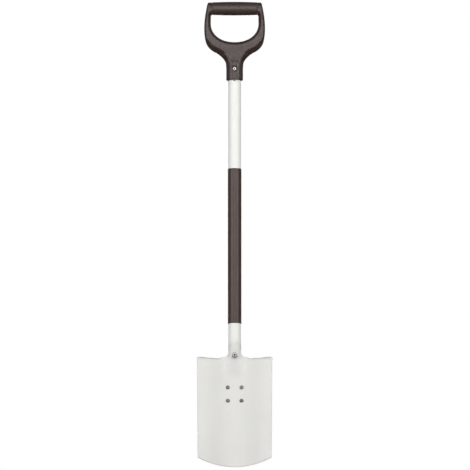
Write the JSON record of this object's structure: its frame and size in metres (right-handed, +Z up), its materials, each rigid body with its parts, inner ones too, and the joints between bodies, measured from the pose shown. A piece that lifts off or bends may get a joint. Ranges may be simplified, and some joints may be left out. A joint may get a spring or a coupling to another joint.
{
  "type": "digging spade",
  "caption": "Long-handled digging spade: dished pressed blade riveted to a tube shaft, plastic grip sleeve and D-handle.",
  "frame": {"origin": "level of the blade's tip, below the middle of the spade's width and depth", "axes": "+Z up the shaft towards the D-handle, +X across the blade to the right of a person facing its dished face, and the dished face looks towards -Y"},
  "size_m": [0.1688, 0.0653, 1.05],
  "materials": {
    "blade_coat": "satin powder coat",
    "shaft_coat": "satin powder coat",
    "sleeve_plastic": "satin moulded",
    "handle_plastic": "fine textured",
    "grip_plastic": "soft, fine textured",
    "plug_plastic": "moulded",
    "grey_steel": "dull zinc plated",
    "bright_steel": "bright zinc plated"
  },
  "bodies": {
    "root": {"blade": "blade_coat", "shaft_tube": "shaft_coat", "neck_screw": "bright_steel", "neck_rivet_nut": "grey_steel", "grip_sleeve": "sleeve_plastic", "blade_rivet_1": "grey_steel", "blade_rivet_2": "grey_steel", "blade_rivet_3": "grey_steel", "blade_rivet_4": "grey_steel", "rivet_washer_1": "grey_steel", "rivet_washer_2": "grey_steel", "rivet_washer_3": "grey_steel", "rivet_washer_4": "grey_steel", "handle_frame": "handle_plastic", "handle_grip": "grip_plastic", "handle_screw": "bright_steel", "tube_plug": "plug_plastic"}
  },
  "joints": []
}
